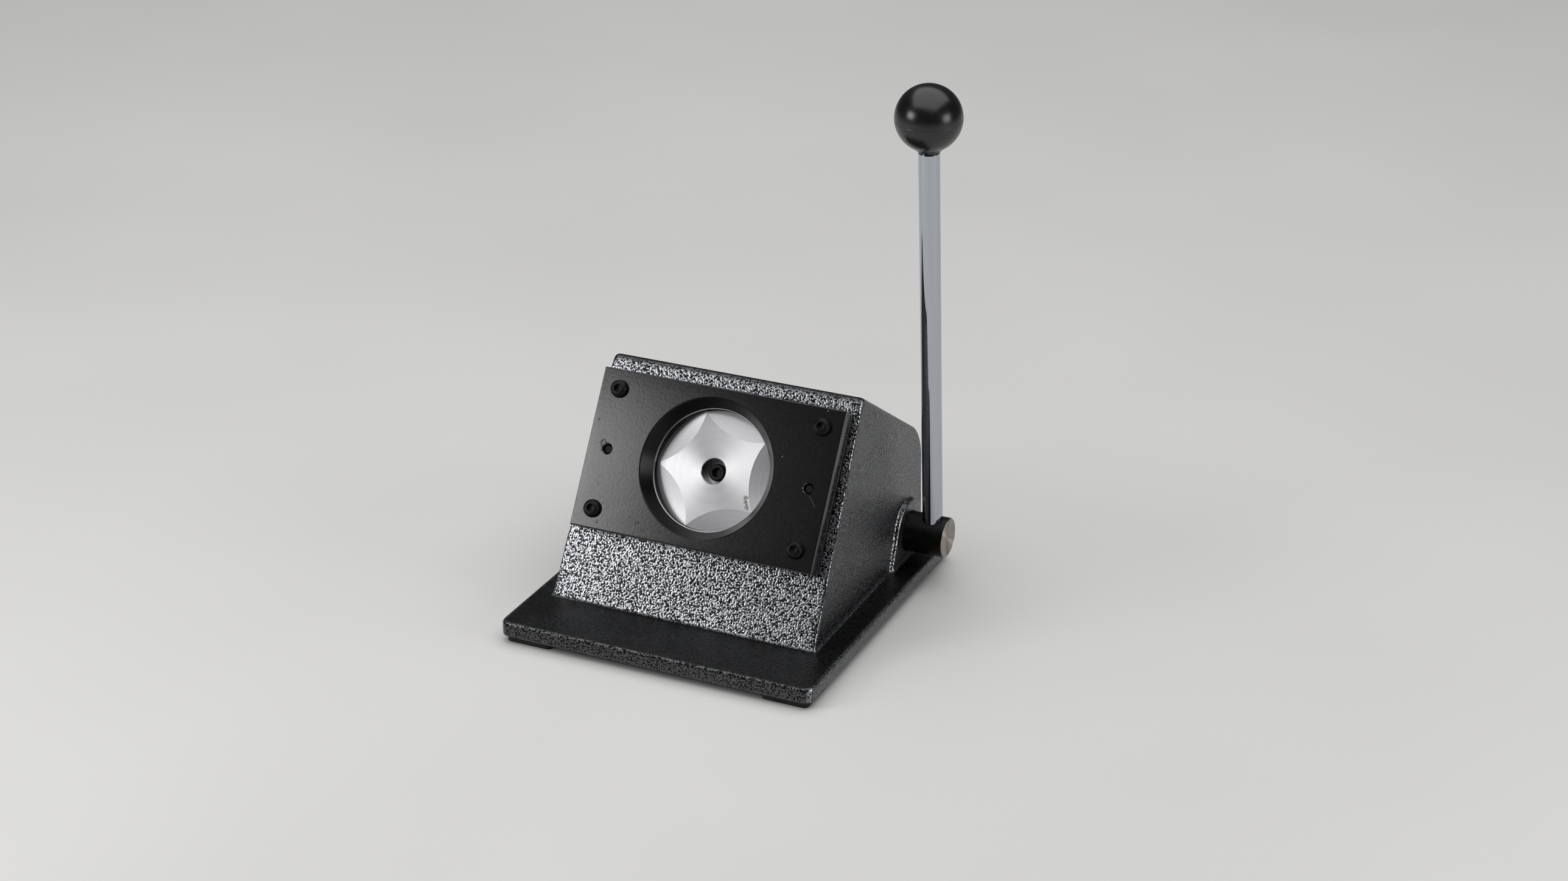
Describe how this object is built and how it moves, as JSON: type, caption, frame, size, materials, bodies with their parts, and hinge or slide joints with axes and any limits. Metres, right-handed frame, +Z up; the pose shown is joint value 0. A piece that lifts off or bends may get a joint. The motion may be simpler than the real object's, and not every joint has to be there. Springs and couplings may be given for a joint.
{
  "type": "badge circle cutter",
  "caption": "Desk-top die cutter: a lever and cam drive a round punch out of a sloped cast body through a black die plate to cut a paper circle.",
  "frame": {"origin": "on the table, under the middle of the whole object with the lever at rest", "axes": "+Z up, -Y is the front with the die plate, +X is the side of the lever"},
  "size_m": [0.2116, 0.213, 0.3132],
  "materials": {
    "hammertone": "hammertone",
    "black_paint": "satin",
    "black_oxide": "black oxide",
    "ground_steel": "turned and ground",
    "grey_steel": "machined",
    "chrome_plate": "polished",
    "bronze": "bearing bronze",
    "brass": "turned",
    "iron": "as cast, machined faces",
    "spring_steel": "oil tempered",
    "black_gloss": "polished phenolic",
    "rubber": "matt"
  },
  "bodies": {
    "casting_unit": {"body_casting": "hammertone", "die_screw_lower_left": "black_oxide", "die_screw_lower_right": "black_oxide", "die_screw_upper_left": "black_oxide", "die_screw_upper_right": "black_oxide", "dowel_pin_left": "grey_steel", "dowel_pin_right": "grey_steel", "foot_front_left": "rubber", "foot_front_right": "rubber", "foot_rear_left": "rubber", "foot_rear_right": "rubber", "front_die_plate": "black_paint", "guide_screw_lower_left": "black_oxide", "guide_screw_lower_right": "black_oxide", "guide_screw_upper_left": "black_oxide", "guide_screw_upper_right": "black_oxide", "ram_bush": "bronze", "ram_guide": "iron", "rear_guide_plate": "black_paint", "return_spring": "spring_steel", "shaft_bush_left": "bronze", "shaft_bush_right": "bronze", "spacer_strip_left": "grey_steel", "spacer_strip_right": "grey_steel"},
    "lever_unit": {"main_shaft": "black_oxide", "cam": "grey_steel", "cam_key": "grey_steel", "spacer_tube_left": "grey_steel", "spacer_tube_right": "grey_steel", "shaft_circlip": "spring_steel", "lever_rod": "chrome_plate", "ball_knob": "black_gloss", "knob_insert": "brass"},
    "ram_unit": {"ram": "grey_steel", "punch": "ground_steel", "punch_screw": "black_oxide", "ram_circlip": "spring_steel", "spring_washer": "grey_steel", "roller_axle": "grey_steel"},
    "roller": {"cam_roller": "ground_steel"}
  },
  "joints": [
    {"name": "lever_pull", "type": "hinge", "parent": "casting_unit", "child": "lever_unit", "pos_m": [-0.01184, 0.0725, 0.0293], "axis": [1, 0, 0], "range_deg": [0, 65]},
    {"name": "ram_slide", "type": "slide", "parent": "casting_unit", "child": "ram_unit", "axis": [0, -0.8616, 0.5075], "range_m": [0, 0.008], "stiffness_N_per_m": 2400, "springref_m": -0.018, "deforming": ["return_spring"]},
    {"name": "roller_spin", "type": "hinge", "parent": "ram_unit", "child": "roller", "pos_m": [-0.01184, 0.04913, 0.04811], "axis": [1, 0, 0], "range_deg": [-180, 0]}
  ],
  "couplings": [
    {"joint": "ram_slide", "follows": "lever_pull", "m_per_rad": 0.0070518},
    {"joint": "roller_spin", "follows": "lever_pull", "ratio": -2.35}
  ]
}
